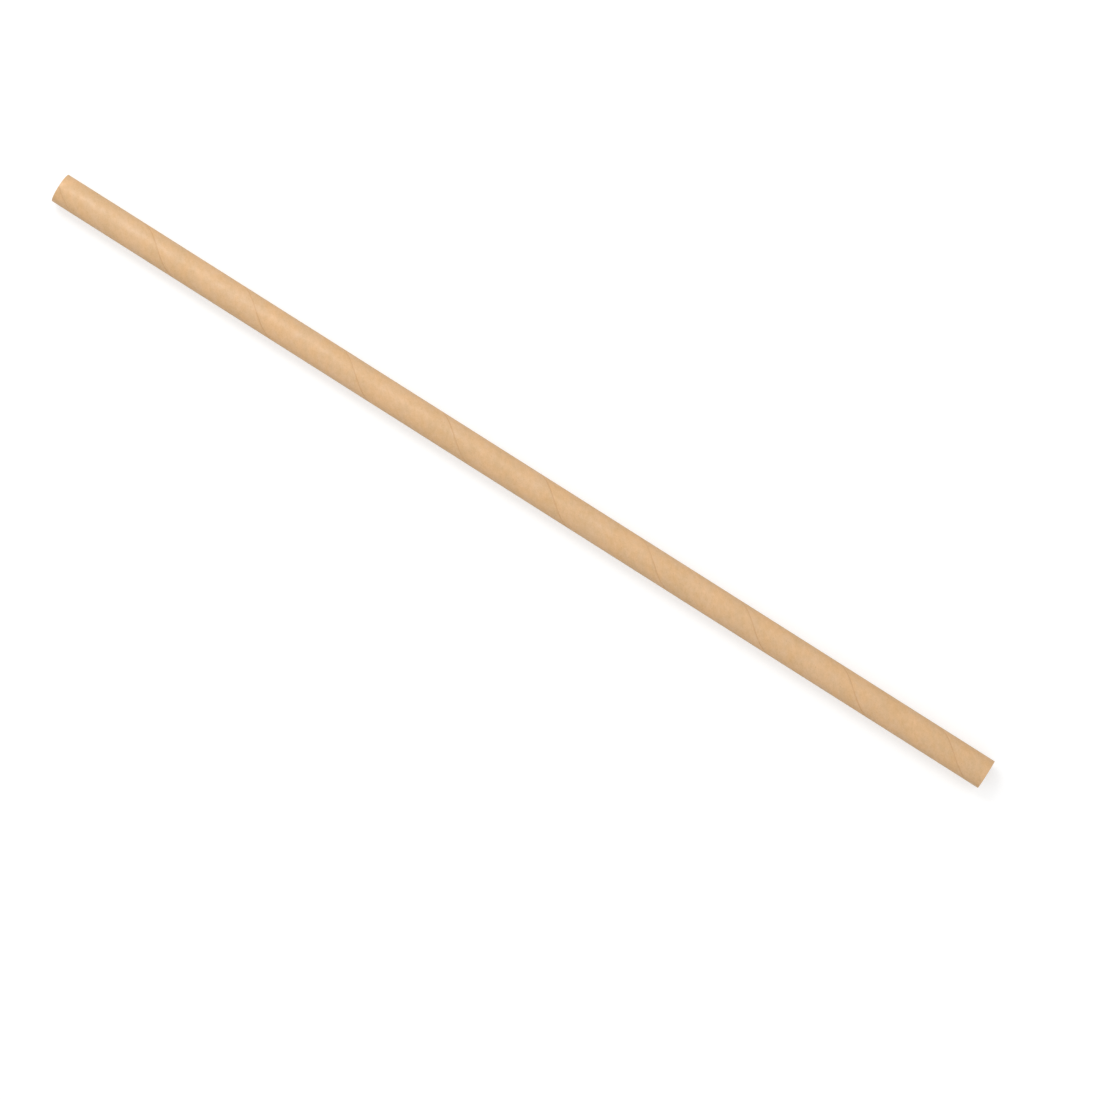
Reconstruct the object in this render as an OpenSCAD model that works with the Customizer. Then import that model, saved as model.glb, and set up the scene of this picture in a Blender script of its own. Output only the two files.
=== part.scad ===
// Spiral-wound paper drinking straw, lying on its side.
// Three strips of kraft paper are wound one over another on a mandrel and glued into one stiff
// tube. The edges of each strip meet in a hairline butt seam that runs along the tube as a
// right-handed helix: the outer strip's seam shows outside, the inner strip's seam in the bore.
// Millimetres. +X runs along the tube, +Z is up, and the origin is under the middle of the tube,
// on the surface that it lies on.

/* [Tube] */
// Outside diameter of the wound tube
outer_d = 6; // [5:0.5:12]
// Length between the two cut ends
tube_length = 210; // [120:5:260]

/* [Plies] */
// Thickness of the outer ply
outer_ply = 0.08; // [0.06:0.01:0.16]
// Thickness of the middle ply with its glue
middle_ply = 0.16; // [0.10:0.01:0.25]
// Thickness of the inner ply with its glue
inner_ply = 0.16; // [0.10:0.01:0.25]
// Width of the paper strip that the outer ply is wound from
outer_strip_w = 14.25; // [12:0.25:15]

/* [Seams] */
// Gap between neighbouring turns of the outer strip, square to the seam
outer_gap = 0.20; // [0.1:0.05:0.4]
// Gap between neighbouring turns of the inner strip, square to the seam
inner_gap = 0.20; // [0.1:0.05:0.4]
// Glue that fills the bottom of each gap, so that a seam is shallower than its ply
seam_fill = 0.03; // [0.01:0.005:0.04]
// Distance from the -X end at which the outer seam first crosses the top of the tube
seam_start = 0.10; // [0:0.05:5]
// Turn from the outer seam to the inner one, because each strip joins the winding separately
inner_seam_turn = 280; // [0:5:355]

/* [Hidden] */

// Facets of a full circle, and of a seam in each of its turns
$fn = 60;
seam_steps = 36;

outer_r = outer_d / 2;
bore_r = outer_r - outer_ply - middle_ply - inner_ply;

// The floor of each seam. The outer one is set out round its circle, so that the middle of each
// facet is at the full depth and no corner is deeper.
outer_floor_r = (outer_r - outer_ply + seam_fill) / cos(180 / seam_steps);
inner_floor_r = bore_r + inner_ply - seam_fill;

// Seen unrolled, a strip and its gap fill the circumference at the lead angle of the winding.
// Every ply advances by the same pitch, so the inner strip lies at a slightly smaller angle.
outer_lead = acos((outer_strip_w + outer_gap) / (PI * outer_d));
pitch = PI * outer_d / tan(outer_lead);
inner_lead = atan(2 * PI * bore_r / pitch);

// How far a cutting tool runs past the walls that it opens
overrun = 0.3;

// Turn about the standing tube's axis at which its wall becomes the top of the lying tube
top_turn = 180;

// One point of a seam, given by its radius, its turn about the axis and its height
function seam_point(radius, turn, height) = [radius * cos(turn), radius * sin(turn), height];

// A seam of the standing tube: a rectangular section from r_in to r_out, wide along the axis,
// swept along a right-handed helix that is at the given turn at the height start_z.
module seam_cutter(r_in, r_out, wide, start_z, start_turn) {
    rise = pitch / seam_steps;
    first = floor((-wide - overrun - start_z) / rise);
    last = ceil((tube_length + wide + overrun - start_z) / rise);
    corners = [for (i = [first:last])
        let (turn = start_turn + i * 360 / seam_steps, z = start_z + i * rise)
        each [
            seam_point(r_in, turn, z - wide / 2),
            seam_point(r_in, turn, z + wide / 2),
            seam_point(r_out, turn, z + wide / 2),
            seam_point(r_out, turn, z - wide / 2)
        ]];
    end = len(corners) - 4;
    sides = [for (ring = [0:4:end - 4], j = [0:3])
        let (a = ring + j, b = ring + (j + 1) % 4)
        each [[a, a + 4, b], [b, a + 4, b + 4]]];
    caps = [[0, 1, 2], [0, 2, 3], [end + 2, end + 1, end], [end + 3, end + 2, end]];
    polyhedron(corners, concat(sides, caps));
}

// The seam that shows on the outside
module outer_seam() {
    seam_cutter(outer_floor_r, outer_r + overrun, outer_gap / sin(outer_lead), seam_start,
        top_turn);
}

// The seam inside the bore
module inner_seam() {
    seam_cutter(bore_r - overrun, inner_floor_r, inner_gap / sin(inner_lead), seam_start,
        top_turn + inner_seam_turn);
}

// The laminated wall before its seams, standing on its -X end
module plain_wall() {
    difference() {
        cylinder(r = outer_r, h = tube_length);
        translate([0, 0, -overrun]) cylinder(r = bore_r, h = tube_length + 2 * overrun);
    }
}

module straw_tube() {
    color("burlywood")
        translate([-tube_length / 2, 0, outer_r])
        rotate([0, 90, 0])
        difference() {
            plain_wall();
            outer_seam();
            inner_seam();
        }
}

straw_tube();
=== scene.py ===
# Spiral-wound paper drinking straw, lying on a pale floor under soft studio light.
# The tube is wound from the lengthwise section of one pitch of its wall, as the real one is wound
# from a strip of paper, and then cut square at both ends. Sizes are in metres.

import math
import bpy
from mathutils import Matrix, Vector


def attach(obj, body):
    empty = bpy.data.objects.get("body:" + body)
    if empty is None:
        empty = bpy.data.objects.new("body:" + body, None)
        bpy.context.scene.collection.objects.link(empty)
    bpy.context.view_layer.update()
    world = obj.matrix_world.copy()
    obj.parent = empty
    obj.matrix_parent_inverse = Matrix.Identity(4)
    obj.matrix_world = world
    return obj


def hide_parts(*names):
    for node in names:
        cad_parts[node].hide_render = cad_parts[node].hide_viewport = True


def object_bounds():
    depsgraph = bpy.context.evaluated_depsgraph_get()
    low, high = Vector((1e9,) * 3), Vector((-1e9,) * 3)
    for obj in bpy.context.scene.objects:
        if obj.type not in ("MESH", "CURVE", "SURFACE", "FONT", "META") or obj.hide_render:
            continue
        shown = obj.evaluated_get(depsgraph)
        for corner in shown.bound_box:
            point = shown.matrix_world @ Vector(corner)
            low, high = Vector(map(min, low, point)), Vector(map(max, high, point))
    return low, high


bl_info = {
    "name": "Paper Drinking Straw",
    "version": (1, 0, 0),
    "blender": (4, 5, 0),
    "location": "View3D > Sidebar > Straw",
    "description": "Winds a kraft-paper drinking straw and sets it on a pale studio floor",
    "category": "Add Mesh",
}

import bmesh
import bpy
from bpy.props import FloatProperty, FloatVectorProperty, IntProperty, PointerProperty
from mathutils import Matrix, Vector

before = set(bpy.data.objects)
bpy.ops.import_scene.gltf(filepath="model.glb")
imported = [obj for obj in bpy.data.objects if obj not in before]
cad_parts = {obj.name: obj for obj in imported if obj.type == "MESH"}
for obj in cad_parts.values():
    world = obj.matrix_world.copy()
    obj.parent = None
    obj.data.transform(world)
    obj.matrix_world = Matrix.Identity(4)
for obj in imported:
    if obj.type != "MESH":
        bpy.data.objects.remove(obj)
CAD_LOW, CAD_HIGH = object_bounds()
CAD_SIZE = CAD_HIGH - CAD_LOW
NODE = "straw_tube"

# Map over the paper: u runs along the strip and v across it, both in strip widths
STRIP_MAP = "strip"
# Millimetres to the metre, because materials measure in millimetres
MM = 1000.0


# Settings in the sidebar

class StrawSizes(bpy.types.PropertyGroup):
    outer_d: FloatProperty(
        name="Outside diameter", description="Outside diameter of the wound tube",
        default=CAD_SIZE.z, min=0.004, max=0.012, precision=5, unit="LENGTH")
    length: FloatProperty(
        name="Length", description="Length between the two cut ends",
        default=CAD_SIZE.x, min=0.05, max=0.3, precision=5, unit="LENGTH")
    outer_ply: FloatProperty(
        name="Outer ply", description="Thickness of the outer ply",
        default=0.00008, min=0.00005, max=0.0002, precision=6, unit="LENGTH")
    middle_ply: FloatProperty(
        name="Middle ply", description="Thickness of the middle ply with its glue",
        default=0.00016, min=0.0001, max=0.0003, precision=6, unit="LENGTH")
    inner_ply: FloatProperty(
        name="Inner ply", description="Thickness of the inner ply with its glue",
        default=0.00016, min=0.0001, max=0.0003, precision=6, unit="LENGTH")
    strip_w: FloatProperty(
        name="Strip width", description="Width of the paper strip of the outer ply",
        default=0.01425, min=0.012, max=0.015, precision=5, unit="LENGTH")
    seam_gap: FloatProperty(
        name="Seam gap", description="Gap between neighbouring turns, square to the seam",
        default=0.0002, min=0.0001, max=0.0004, precision=6, unit="LENGTH")
    seam_fill: FloatProperty(
        name="Glue in the seam", description="Glue that fills the bottom of each seam",
        default=0.00003, min=0.00001, max=0.00004, precision=6, unit="LENGTH")
    seam_start: FloatProperty(
        name="Seam start", description="Where the outer seam first crosses the top of the tube",
        default=0.0001, min=0.0, max=0.005, precision=5, unit="LENGTH")
    inner_seam_turn: FloatProperty(
        name="Inner seam turn", description="Turn from the outer seam to the inner one",
        default=math.radians(280), min=0.0, max=math.tau, subtype="ANGLE", unit="ROTATION")
    edge_press: FloatProperty(
        name="Pressed edge", description="How far the strip's edges are pressed in at the seam",
        default=0.000004, min=0.0, max=0.00002, precision=7, unit="LENGTH")
    end_softness: FloatProperty(
        name="End softness", description="Rounding of the edges at the cut ends",
        default=0.00002, min=0.0, max=0.00005, precision=6, unit="LENGTH")
    glue_line: FloatProperty(
        name="Glue line", description="Depth of the glue lines between the plies on the cut ends",
        default=0.000015, min=0.0, max=0.00003, precision=7, unit="LENGTH")
    steps: IntProperty(
        name="Steps", description="Steps in each turn of the winding",
        default=96, min=48, max=160)


class PaperFinish(bpy.types.PropertyGroup):
    deep: FloatVectorProperty(
        name="Deep", description="Deeper shade of the kraft paper",
        default=(0.595, 0.355, 0.138), min=0.0, max=1.0, subtype="COLOR")
    pale: FloatVectorProperty(
        name="Pale", description="Paler shade of the kraft paper",
        default=(0.785, 0.491, 0.267), min=0.0, max=1.0, subtype="COLOR")
    speck: FloatVectorProperty(
        name="Specks", description="Colour of the few dark specks of bark",
        default=(0.30, 0.15, 0.06), min=0.0, max=1.0, subtype="COLOR")
    # The seams' glue colour, darkened further as painted shade in the grooves; the cut ends' glue
    # lines use it too
    seam: FloatVectorProperty(
        name="Seam", description="Colour of the glued floor of the seams",
        default=(0.6, 0.348, 0.148), min=0.0, max=1.0, subtype="COLOR")
    cut: FloatVectorProperty(
        name="Cut paper", description="Colour of the cut plies",
        default=(0.66, 0.44, 0.25), min=0.0, max=1.0, subtype="COLOR")
    clouds: FloatProperty(
        name="Clouds", description="How much the shade drifts over a few millimetres",
        default=0.1, min=0.0, max=1.0)
    patches: FloatProperty(
        name="Patches", description="How much the shade changes within a millimetre",
        default=0.17, min=0.0, max=1.0)
    fibres: FloatProperty(
        name="Fibres", description="How much the bundles of fibres show",
        default=0.17, min=0.0, max=1.0)
    hairs: FloatProperty(
        name="Hairs", description="How much the finest single fibres show",
        default=0.16, min=0.0, max=1.0)
    tints: FloatProperty(
        name="Tints", description="How far the paper turns from yellow to orange in patches",
        default=0.06, min=0.0, max=0.2)
    roughness: FloatProperty(
        name="Roughness", description="Roughness of the calendered surface",
        default=0.5, min=0.1, max=1.0, subtype="FACTOR")
    gloss: FloatProperty(
        name="Gloss", description="Strength of the sheen that calendering and wax give the paper",
        default=1.0, min=0.0, max=1.0, subtype="FACTOR")


class StudioSettings(bpy.types.PropertyGroup):
    floor_size: FloatProperty(
        name="Floor", description="Width of the pale floor",
        default=6.0, min=1.0, max=20.0, unit="LENGTH")
    floor_lift: FloatProperty(
        name="Floor lift", description="How much the camera sees the floor lifted towards white",
        default=0.5, min=0.0, max=1.0, subtype="FACTOR")
    ambient: FloatProperty(
        name="Ambient", description="Strength of the light from all round",
        default=0.83, min=0.0, max=1.0)
    key: FloatProperty(
        name="Key", description="Power of the softbox, in watts",
        default=0.91, min=0.0, max=20.0)
    key_place: FloatVectorProperty(
        name="Key place", description="Middle of the softbox, over the +Y side and the -X end",
        default=(-0.3, 0.19, 0.41), subtype="XYZ", unit="LENGTH")
    key_size: FloatVectorProperty(
        name="Key size", description="Length and width of the softbox",
        default=(0.4, 0.175), size=2, unit="LENGTH")
    lens: FloatProperty(
        name="Lens", description="Focal length on a 36 mm sensor, in millimetres",
        default=190.0, min=50.0, max=300.0)
    tilt: FloatProperty(
        name="Tilt", description="Lean of the view from straight down, towards the +X end",
        default=math.radians(2.8), subtype="ANGLE", unit="ROTATION")
    roll: FloatProperty(
        name="Roll", description="Slope of the straw across the picture",
        default=math.radians(32.379), subtype="ANGLE", unit="ROTATION")
    station: FloatVectorProperty(
        name="Station", description="Where the camera stands",
        default=(0.06606, -0.00837, 1.11137), precision=5, subtype="XYZ", unit="LENGTH")


# Sizes that follow from the settings

def axis_height(sizes):
    return CAD_LOW.z + sizes.outer_d / 2


def pitch_of(sizes):
    girth = math.pi * sizes.outer_d
    lead = math.acos((sizes.strip_w + sizes.seam_gap) / girth)
    return girth / math.tan(lead)


def half_gap_along(sizes, radius):
    """Half the seam's width measured along the tube, at this radius."""
    lead = math.atan(math.tau * radius / pitch_of(sizes))
    return sizes.seam_gap / math.sin(lead) / 2


def bore_radius(sizes):
    return sizes.outer_d / 2 - sizes.outer_ply - sizes.middle_ply - sizes.inner_ply


# Modelling, as by hand

# Two points closer than this are one point, and a cut takes in points this near to its plane
MERGE_DISTANCE = 1e-6
CUT_THRESHOLD = 1e-8
# Side of the plane that is merged to the first point of a section
POINT_PLANE = 1e-4
# The side of a seam, in seam depths: distance from the gap's edge, and height above the floor
SEAM_SIDE = ((-0.5, 0.0), (-0.08, 0.25), (0.0, 0.8), (0.35, 1.0))
# The strip's pressed edge: distance from the gap's edge in seam depths, and share of its rise
PRESSED_EDGE = ((2.5, 0.35), (8.0, 1.0))
# Steps along one pitch between the pressed edges, outside and in the bore
OUTSIDE_FLATS = 16
BORE_FLATS = 12
# Half the width of a glue line on a cut end, in depths of the line
GLUE_LINE_HALF = 0.7
# Faces that meet at less than this angle are shaded as one surface
SMOOTH_ANGLE = math.radians(30)


def deselect_all():
    bpy.ops.object.select_all(action="DESELECT")


def wall_section(half_gap, floor_r, face_r, crest_r, pitch, flats):
    """Points (along, radius) of one pitch of a wall, from one seam's middle to the next one's."""
    depth = abs(crest_r - floor_r)
    near_edge = [(0.0, floor_r)]
    for out, height in SEAM_SIDE:
        near_edge.append((half_gap + depth * out, floor_r + (crest_r - floor_r) * height))
    for out, rise in PRESSED_EDGE:
        near_edge.append((half_gap + depth * out, crest_r + (face_r - crest_r) * rise))
    start = near_edge[-1][0]
    face = [(start + (pitch - 2 * start) * i / flats, face_r) for i in range(1, flats)]
    far_edge = [(pitch - along, radius) for along, radius in reversed(near_edge)]
    return near_edge + face + far_edge


def wind(name, section, first, turn, sizes):
    """Draws a wall's section above the axis and winds it along the tube with a screw."""
    deselect_all()
    centre = Vector((0.0, 0.0, axis_height(sizes)))
    bpy.ops.mesh.primitive_plane_add(size=POINT_PLANE, location=centre)
    wall = bpy.context.object
    wall.name = name
    wall.data.name = name
    bpy.ops.object.mode_set(mode="EDIT")
    bpy.ops.mesh.select_mode(type="VERT")
    bpy.ops.mesh.select_all(action="SELECT")
    bpy.ops.mesh.merge(type="CENTER")
    bpy.ops.transform.translate(value=(first + section[0][0], 0.0, section[0][1]))
    for (along, radius), (next_along, next_radius) in zip(section, section[1:]):
        move = (next_along - along, 0.0, next_radius - radius)
        bpy.ops.mesh.extrude_vertices_move(TRANSFORM_OT_translate={"value": move})
    bpy.ops.mesh.select_all(action="SELECT")
    bpy.ops.transform.rotate(value=turn, orient_axis="X", center_override=centre)
    bpy.ops.object.mode_set(mode="OBJECT")
    winding = wall.modifiers.new("winding", "SCREW")
    winding.axis = "X"
    winding.angle = math.tau
    winding.screw_offset = pitch_of(sizes)
    winding.iterations = math.ceil(sizes.length / pitch_of(sizes)) + 2
    winding.steps = sizes.steps
    winding.render_steps = sizes.steps
    winding.use_smooth_shade = True
    bpy.ops.object.modifier_apply(modifier=winding.name)
    return wall


def cut_off(wall, reach):
    """Joins the turns along their seams and cuts the wall off at this reach from the middle."""
    bpy.ops.object.mode_set(mode="EDIT")
    bpy.ops.mesh.select_all(action="SELECT")
    bpy.ops.mesh.remove_doubles(threshold=MERGE_DISTANCE)
    for side in (-1, 1):
        bpy.ops.mesh.select_all(action="SELECT")
        bpy.ops.mesh.bisect(
            plane_co=(side * reach, 0.0, 0.0), plane_no=(side, 0.0, 0.0),
            clear_outer=True, use_fill=False, threshold=CUT_THRESHOLD)
    bpy.ops.object.mode_set(mode="OBJECT")


def select_open_edges(tube, side, least_radius, sizes):
    """Selects the open edges at one end that are at least this far from the axis."""
    bpy.ops.mesh.select_mode(type="EDGE")
    bpy.ops.mesh.select_all(action="DESELECT")
    mesh = bmesh.from_edit_mesh(tube.data)
    height = axis_height(sizes)
    for edge in mesh.edges:
        middle = tube.matrix_world @ ((edge.verts[0].co + edge.verts[1].co) / 2)
        radius = math.hypot(middle.y, middle.z - height)
        if edge.is_boundary and middle.x * side > 0 and radius > least_radius:
            edge.select_set(True)
    bmesh.update_edit_mesh(tube.data)


def end_rings(sizes):
    """Rings (radius, depth) of a cut end, inwards from its softened edge over two glue lines."""
    outer_r = sizes.outer_d / 2
    rings = [(outer_r - sizes.end_softness, 0.0)]
    radius = outer_r
    for ply in (sizes.outer_ply, sizes.middle_ply):
        radius -= ply
        half = sizes.glue_line * GLUE_LINE_HALF
        rings += [(radius + half, 0.0), (radius, sizes.glue_line), (radius - half, 0.0)]
    return rings


def close_end(tube, side, sizes):
    """Turns the outer wall in over the cut plies and joins it to the bore."""
    outer_r = sizes.outer_d / 2
    centre = (0.0, 0.0, axis_height(sizes))
    bpy.ops.object.mode_set(mode="EDIT")
    select_open_edges(tube, side, (outer_r + bore_radius(sizes)) / 2, sizes)
    radius, depth = outer_r, sizes.end_softness
    for next_radius, next_depth in end_rings(sizes):
        move = (side * (depth - next_depth), 0.0, 0.0)
        shrink = next_radius / radius
        bpy.ops.mesh.extrude_edges_move(TRANSFORM_OT_translate={"value": move})
        bpy.ops.transform.resize(value=(1.0, shrink, shrink), center_override=centre)
        radius, depth = next_radius, next_depth
    select_open_edges(tube, side, 0.0, sizes)
    bpy.ops.mesh.bridge_edge_loops(type="SINGLE")
    bpy.ops.object.mode_set(mode="OBJECT")


def lay_strip_map(tube, sizes):
    """Maps each wall along and across the strip of paper that winds round it."""
    tube.data.uv_layers[0].name = STRIP_MAP
    strip = tube.data.uv_layers[STRIP_MAP].data
    pitch = pitch_of(sizes)
    outer_r, bore_r = sizes.outer_d / 2, bore_radius(sizes)
    height = axis_height(sizes)
    points = tube.data.vertices
    for face in tube.data.polygons:
        centre = face.center
        outside = math.hypot(centre.y, centre.z - height) > (outer_r + bore_r) / 2
        radius = outer_r if outside else bore_r
        seam_turn = 0.0 if outside else sizes.inner_seam_turn
        girth = math.tau * radius
        slant = math.hypot(girth, pitch)
        middle_turn = math.atan2(-centre.y, centre.z - height) - seam_turn
        along = (centre.x + sizes.length / 2 - sizes.seam_start) / pitch
        lap = math.floor(along - middle_turn / math.tau)
        for corner in face.loop_indices:
            point = points[tube.data.loops[corner].vertex_index].co
            turn = math.atan2(-point.y, point.z - height) - seam_turn
            turn += math.tau * round((middle_turn - turn) / math.tau)
            arc = girth * (turn / math.tau + lap)
            rise = point.x + sizes.length / 2 - sizes.seam_start
            strip[corner].uv = (
                (arc * girth + rise * pitch) / slant / sizes.strip_w,
                (rise * girth - arc * pitch) / slant / sizes.strip_w)


# Materials

# Sizes of the paper's patterns in millimetres, along and across the strip. Tints, fibres and
# hairs lie in layers, and a layer's third number is its turn from the strip in radians. Seam
# stretches are the lengths over which the seam's glue colour and painted shade come and go.
CLOUDS = (9.0, 5.5)
PATCHES = (1.5, 1.1)
TINTS = ((2.4, 1.8, 0.0), (8.0, 6.0, 0.4))
SPECKS = (0.55, 0.22)
SEAM_GLUE_AND_SHADE_STRETCHES = (5.0, 5.0)
FIBRES = ((1.2, 0.14, 0.2), (0.9, 0.13, -0.8), (0.8, 0.13, 1.2))
HAIRS = ((0.9, 0.04, 0.35), (0.7, 0.04, -0.3))
# The part of a noise's range that is spread over the shades, for one noise and for each layer
NOISE_RANGE = (0.2, 0.8)
LAYER_RANGE = (0.3, 0.7)
# Noise at which a speck begins and at which it is full, and how much of its colour it then shows
SPECK_RANGE = (0.76, 0.86)
SPECK_STRENGTH = 0.45
# Depths below each wall's face, in millimetres, over which painted shade and glue take over the
# paper
SEAM_GLUE_AND_SHADE_DEPTHS = (0.008, 0.035)
BORE_SEAM_GLUE_AND_SHADE_DEPTHS = (0.01, 0.07)
# How much painted shade and glue colour the seam shows, in its faintest stretches and in its
# darkest
SEAM_GLUE_AND_SHADE_SHOWS = (0.25, 1.0)
# How far the patches swing the roughness
ROUGHNESS_SWING = 0.07
# Height of the relief in the paper, and how strongly it shows on the faces and the cut ends
RELIEF = 0.00001
FACE_RELIEF = 0.3
CUT_RELIEF = 0.4
# Cut ends: grains to the metre, range of their shades, roughness, and the distances from the
# middle of a glue line, in millimetres, at which it begins and at which it is full
GRAINS = 12000.0
GRAIN_SHADES = (0.85, 1.15)
CUT_ROUGHNESS = 0.85
GLUE_LINE_FADE = (0.012, 0.004)
# The floor's own grey and roughness
FLOOR_GREY = (0.6, 0.6, 0.6, 1.0)
FLOOR_ROUGHNESS = 0.9


class Graph:
    """Adds nodes to a material, each with its settings, values and links."""

    def __init__(self, name):
        self.material = bpy.data.materials.new(name)
        self.material.use_nodes = True
        self.tree = self.material.node_tree
        self.shader = self.tree.nodes["Principled BSDF"]

    def add(self, kind, inputs, **settings):
        node = self.tree.nodes.new(kind)
        for name, value in settings.items():
            setattr(node, name, value)
        self.feed(node, inputs)
        return node

    def feed(self, node, inputs):
        for name, value in inputs.items():
            if isinstance(value, bpy.types.NodeSocket):
                self.tree.links.new(value, node.inputs[name])
            else:
                node.inputs[name].default_value = value

    def ramp(self, value, low, high, to_low=0.0, to_high=1.0):
        """The value's range from low to high, spread smoothly over the range asked for."""
        node = self.add("ShaderNodeMapRange", {
            "Value": value, "From Min": low, "From Max": high,
            "To Min": to_low, "To Max": to_high}, interpolation_type="SMOOTHSTEP")
        return node.outputs["Result"]

    def math(self, operation, first, second):
        node = self.add("ShaderNodeMath", {0: first, 1: second}, operation=operation)
        return node.outputs["Value"]

    def blend(self, factor, first, second, kind="MIX"):
        node = self.add("ShaderNodeMix", {
            0: factor, 6: first, 7: second}, data_type="RGBA", blend_type=kind)
        return node.outputs[2]

    def strip(self, along, across, turn=0.0):
        """Place on the strip, in units of these lengths along and across it, in millimetres."""
        place = self.add("ShaderNodeUVMap", {}, uv_map=STRIP_MAP).outputs["UV"]
        width_mm = bpy.context.scene.straw_sizes.strip_w * MM
        if turn:
            place = self.add("ShaderNodeVectorRotate", {
                "Vector": place, "Angle": turn}, rotation_type="Z_AXIS").outputs["Vector"]
        return self.add("ShaderNodeMapping", {
            "Vector": place, "Scale": (width_mm / along, width_mm / across, 1.0),
        }).outputs["Vector"]

    def noise(self, place, detail=2.0, roughness=0.5, distortion=0.0):
        return self.add("ShaderNodeTexNoise", {
            "Vector": place, "Scale": 1.0, "Detail": detail, "Roughness": roughness,
            "Distortion": distortion}, noise_dimensions="2D").outputs["Fac"]

    def layers(self, layers, distortion):
        """The sum of the noises of all layers."""
        total = 0.0
        for along, across, turn in layers:
            noise = self.noise(self.strip(along, across, turn), distortion=distortion)
            total = self.math("ADD", total, noise)
        return total

    def shades(self, noise, strength, layers=None):
        """A noise, or a sum of layers, spread over the shades from -strength to strength."""
        low, high = (limit * len(layers) for limit in LAYER_RANGE) if layers else NOISE_RANGE
        return self.ramp(noise, low, high, -strength, strength)

    def relief(self, height, strength):
        return self.add("ShaderNodeBump", {
            "Height": height, "Strength": strength, "Distance": RELIEF}).outputs["Normal"]

    def axis_distance(self):
        """Distance from the tube's axis, in millimetres."""
        place = self.add("ShaderNodeTexCoord", {}).outputs["Object"]
        height = axis_height(bpy.context.scene.straw_sizes)
        place = self.add("ShaderNodeMapping", {
            "Vector": place, "Scale": (0.0, MM, MM),
            "Location": (0.0, 0.0, -height * MM)}).outputs["Vector"]
        return self.add("ShaderNodeVectorMath", {0: place}, operation="LENGTH").outputs["Value"]


def kraft_paper(finish, sizes):
    """Calendered kraft paper: cloudy, with uneven tint, fibres along the strip and dark specks."""
    g = Graph("wound_paper")
    clouds = g.noise(g.strip(*CLOUDS), detail=1.0)
    patches = g.noise(g.strip(*PATCHES), detail=4.0, roughness=0.7)
    fibres = g.layers(FIBRES, distortion=0.5)
    hairs = g.layers(HAIRS, distortion=0.6)
    shade = 0.5
    for part in (
            g.shades(clouds, finish.clouds), g.shades(patches, finish.patches),
            g.shades(fibres, finish.fibres, FIBRES), g.shades(hairs, finish.hairs, HAIRS)):
        shade = g.math("ADD", shade, part)
    paper = g.blend(shade, (*finish.deep, 1.0), (*finish.pale, 1.0))
    yellow = (1 - finish.tints / 2, 1.0, 1 + finish.tints, 1.0)
    orange = (1 + finish.tints / 2, 1.0, 1 - finish.tints, 1.0)
    warmth = g.math("ADD", 0.5, g.shades(g.layers(TINTS, distortion=0.0), 0.5, TINTS))
    paper = g.blend(1.0, paper, g.blend(warmth, yellow, orange), "MULTIPLY")
    specks = g.noise(g.strip(*SPECKS), detail=1.0)
    paper = g.blend(
        g.ramp(specks, *SPECK_RANGE, 0.0, SPECK_STRENGTH), paper, (*finish.speck, 1.0))
    # Seam floors and walls darken to the seam colour with depth: the glue, and painted shade in
    # the groove
    distance = g.axis_distance()
    outer_r, bore_r = sizes.outer_d / 2 * MM, bore_radius(sizes) * MM
    seam = g.math(
        "MULTIPLY", g.ramp(distance, *(bore_r + depth for depth in BORE_SEAM_GLUE_AND_SHADE_DEPTHS)),
        g.ramp(distance, *(outer_r - depth for depth in SEAM_GLUE_AND_SHADE_DEPTHS)))
    glue_and_shade_shows = g.ramp(g.noise(g.strip(*SEAM_GLUE_AND_SHADE_STRETCHES)), *NOISE_RANGE, *SEAM_GLUE_AND_SHADE_SHOWS)
    g.feed(g.shader, {
        "Base Color": g.blend(g.math("MULTIPLY", seam, glue_and_shade_shows), paper, (*finish.seam, 1.0)),
        "Roughness": g.ramp(
            patches, *NOISE_RANGE, finish.roughness + ROUGHNESS_SWING,
            finish.roughness - ROUGHNESS_SWING),
        "Specular IOR Level": finish.gloss,
        "Normal": g.relief(g.math("ADD", fibres, hairs), FACE_RELIEF),
    })
    return g.material


def cut_paper(finish, sizes):
    """The plies' cut edges: lighter and rougher than their faces, darker along the glue."""
    g = Graph("cut_paper")
    place = g.add("ShaderNodeTexCoord", {}).outputs["Object"]
    place = g.add("ShaderNodeMapping", {
        "Vector": place, "Scale": (GRAINS, GRAINS, GRAINS)}).outputs["Vector"]
    grain = g.add("ShaderNodeTexNoise", {
        "Vector": place, "Scale": 1.0, "Detail": 2.0}).outputs["Fac"]
    paper = g.add("ShaderNodeHueSaturation", {
        "Color": (*finish.cut, 1.0), "Value": g.ramp(grain, *NOISE_RANGE, *GRAIN_SHADES),
    }).outputs["Color"]
    distance = g.axis_distance()
    radius = sizes.outer_d / 2 * MM
    glue = 0.0
    for ply in (sizes.outer_ply, sizes.middle_ply):
        radius -= ply * MM
        off_line = g.math("ABSOLUTE", g.math("SUBTRACT", distance, radius), 0.0)
        glue = g.math("MAXIMUM", glue, g.ramp(off_line, *GLUE_LINE_FADE))
    g.feed(g.shader, {
        "Base Color": g.blend(glue, paper, (*finish.seam, 1.0)), "Roughness": CUT_ROUGHNESS,
        "Normal": g.relief(grain, CUT_RELIEF),
    })
    return g.material


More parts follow.
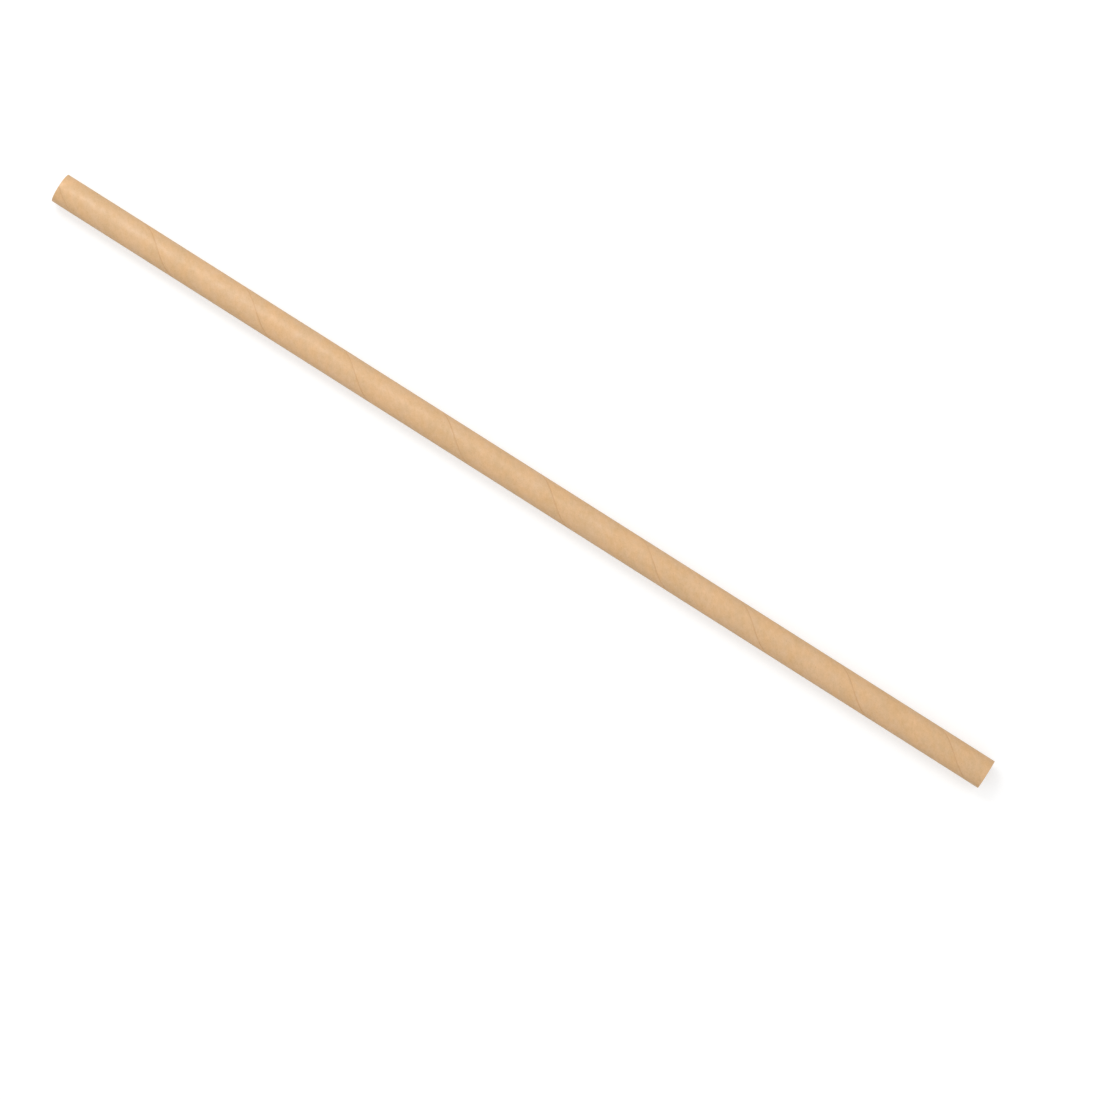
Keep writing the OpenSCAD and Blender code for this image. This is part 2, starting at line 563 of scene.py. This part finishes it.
def floor_white(studio):
    """A matt white floor that the camera sees as plain white outside the object's shadow."""
    g = Graph("floor_white")
    g.feed(g.shader, {"Base Color": FLOOR_GREY, "Roughness": FLOOR_ROUGHNESS})
    lift = g.add("ShaderNodeEmission", {"Strength": studio.floor_lift})
    seen = g.add("ShaderNodeLightPath", {}).outputs["Is Camera Ray"]
    lifted = g.add("ShaderNodeAddShader", {
        0: g.shader.outputs["BSDF"], 1: lift.outputs["Emission"]}).outputs["Shader"]
    out = g.tree.nodes["Material Output"]
    mixed = g.add("ShaderNodeMixShader", {
        0: seen, 1: g.shader.outputs["BSDF"], 2: lifted}).outputs["Shader"]
    g.feed(out, {"Surface": mixed})
    return g.material


# Operators

WHITE = (1.0, 1.0, 1.0, 1.0)
SENSOR_WIDTH = 36.0


class STRAW_OT_wind_tube(bpy.types.Operator):
    """Wind the paper tube with its seams and cut it to length"""

    bl_idname = "straw.wind_tube"
    bl_label = "Wind Straw Tube"

    def execute(self, context):
        sizes = context.scene.straw_sizes
        pitch = pitch_of(sizes)
        reach = sizes.length / 2
        outer_r = sizes.outer_d / 2
        bore_r = bore_radius(sizes)
        first = sizes.seam_start - reach - pitch
        tube = wind(
            "straw_paper_tube",
            wall_section(
                half_gap_along(sizes, outer_r), outer_r - sizes.outer_ply + sizes.seam_fill,
                outer_r, outer_r - sizes.edge_press, pitch, OUTSIDE_FLATS),
            first, 0.0, sizes)
        cut_off(tube, reach - sizes.end_softness)
        bore = wind(
            "straw_bore",
            wall_section(
                half_gap_along(sizes, bore_r), bore_r + sizes.inner_ply - sizes.seam_fill,
                bore_r, bore_r, pitch, BORE_FLATS),
            first, sizes.inner_seam_turn, sizes)
        cut_off(bore, reach - sizes.end_softness)
        deselect_all()
        bore.select_set(True)
        tube.select_set(True)
        context.view_layer.objects.active = tube
        bpy.ops.object.join()
        for side in (-1, 1):
            close_end(tube, side, sizes)
        bpy.ops.object.mode_set(mode="EDIT")
        if not all(edge.is_manifold for edge in bmesh.from_edit_mesh(tube.data).edges):
            raise RuntimeError("The tube's wall isn't closed")
        bpy.ops.mesh.select_all(action="SELECT")
        bpy.ops.mesh.normals_make_consistent(inside=False)
        bpy.ops.object.mode_set(mode="OBJECT")
        bpy.ops.object.transform_apply(location=True, rotation=True, scale=True)
        bpy.ops.object.shade_smooth_by_angle(angle=SMOOTH_ANGLE)
        lay_strip_map(tube, sizes)
        self.paint(tube, context.scene.straw_finish, sizes)
        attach(tube, "root")
        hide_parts(NODE)
        return {"FINISHED"}

    def paint(self, tube, finish, sizes):
        tube.data.materials.clear()
        tube.data.materials.append(kraft_paper(finish, sizes))
        tube.data.materials.append(cut_paper(finish, sizes))
        walls_end = sizes.length / 2 - sizes.end_softness
        for face in tube.data.polygons:
            past_walls = abs(face.center.x) - walls_end
            face.material_index = 1 if past_walls > sizes.end_softness / 4 else 0


class STRAW_OT_studio(bpy.types.Operator):
    """Set up the pale floor, the soft lights and the camera"""

    bl_idname = "straw.studio"
    bl_label = "Set Up Studio"

    def execute(self, context):
        studio = context.scene.straw_studio
        self.floor(studio)
        self.lights(context, studio)
        self.camera(context, studio)
        context.scene.view_settings.view_transform = "Standard"
        return {"FINISHED"}

    def floor(self, studio):
        deselect_all()
        bpy.ops.mesh.primitive_plane_add(size=studio.floor_size, location=(0, 0, CAD_LOW.z))
        floor = bpy.context.object
        floor.name = "studio_floor"
        bpy.ops.object.transform_apply(location=True, rotation=True, scale=True)
        floor.data.materials.append(floor_white(studio))

    def lights(self, context, studio):
        world = bpy.data.worlds.new("studio_surround")
        context.scene.world = world
        world.use_nodes = True
        tree = world.node_tree
        around = tree.nodes["Background"]
        around.inputs["Color"].default_value = WHITE
        around.inputs["Strength"].default_value = studio.ambient
        backdrop = tree.nodes.new("ShaderNodeBackground")
        backdrop.inputs["Color"].default_value = WHITE
        seen = tree.nodes.new("ShaderNodeLightPath")
        mixed = tree.nodes.new("ShaderNodeMixShader")
        tree.links.new(seen.outputs["Is Camera Ray"], mixed.inputs[0])
        tree.links.new(around.outputs["Background"], mixed.inputs[1])
        tree.links.new(backdrop.outputs["Background"], mixed.inputs[2])
        tree.links.new(mixed.outputs["Shader"], tree.nodes["World Output"].inputs["Surface"])
        bpy.ops.object.light_add(type="AREA", location=studio.key_place)
        lamp = bpy.context.object
        lamp.name = "key_softbox"
        lamp.data.shape = "RECTANGLE"
        lamp.data.size, lamp.data.size_y = studio.key_size
        lamp.data.energy = studio.key
        back = Vector((0.0, studio.key_place[1], studio.key_place[2])).normalized()
        along = Vector((1.0, 0.0, 0.0))
        lamp.rotation_euler = Matrix((along, back.cross(along), back)).transposed().to_euler()

    def camera(self, context, studio):
        bpy.ops.object.camera_add(location=studio.station)
        camera = bpy.context.object
        camera.name = "picture_camera"
        camera.data.lens = studio.lens
        camera.data.sensor_width = SENSOR_WIDTH
        back = Vector((math.sin(studio.tilt), 0.0, math.cos(studio.tilt)))
        along = Vector((math.cos(studio.tilt), 0.0, -math.sin(studio.tilt)))
        across = Vector((0.0, 1.0, 0.0))
        right = math.cos(studio.roll) * along + math.sin(studio.roll) * across
        up = -math.sin(studio.roll) * along + math.cos(studio.roll) * across
        camera.rotation_euler = Matrix((right, up, back)).transposed().to_euler()
        context.scene.camera = camera


class STRAW_PT_panel(bpy.types.Panel):
    """Sizes, finish and studio of the paper straw"""

    bl_idname = "STRAW_PT_panel"
    bl_label = "Paper Straw"
    bl_space_type = "VIEW_3D"
    bl_region_type = "UI"
    bl_category = "Straw"

    def draw(self, context):
        scene = context.scene
        for settings in (scene.straw_sizes, scene.straw_finish, scene.straw_studio):
            box = self.layout.box()
            for name in settings.__annotations__:
                box.prop(settings, name)
        self.layout.operator(STRAW_OT_wind_tube.bl_idname)
        self.layout.operator(STRAW_OT_studio.bl_idname)


CLASSES = (
    StrawSizes, PaperFinish, StudioSettings,
    STRAW_OT_wind_tube, STRAW_OT_studio, STRAW_PT_panel,
)


def register():
    for cls in CLASSES:
        bpy.utils.register_class(cls)
    bpy.types.Scene.straw_sizes = PointerProperty(type=StrawSizes)
    bpy.types.Scene.straw_finish = PointerProperty(type=PaperFinish)
    bpy.types.Scene.straw_studio = PointerProperty(type=StudioSettings)


def unregister():
    del bpy.types.Scene.straw_studio
    del bpy.types.Scene.straw_finish
    del bpy.types.Scene.straw_sizes
    for cls in reversed(CLASSES):
        bpy.utils.unregister_class(cls)


def main():
    register()
    bpy.ops.straw.wind_tube()
    bpy.ops.straw.studio()


if __name__ == "__main__":
    main()
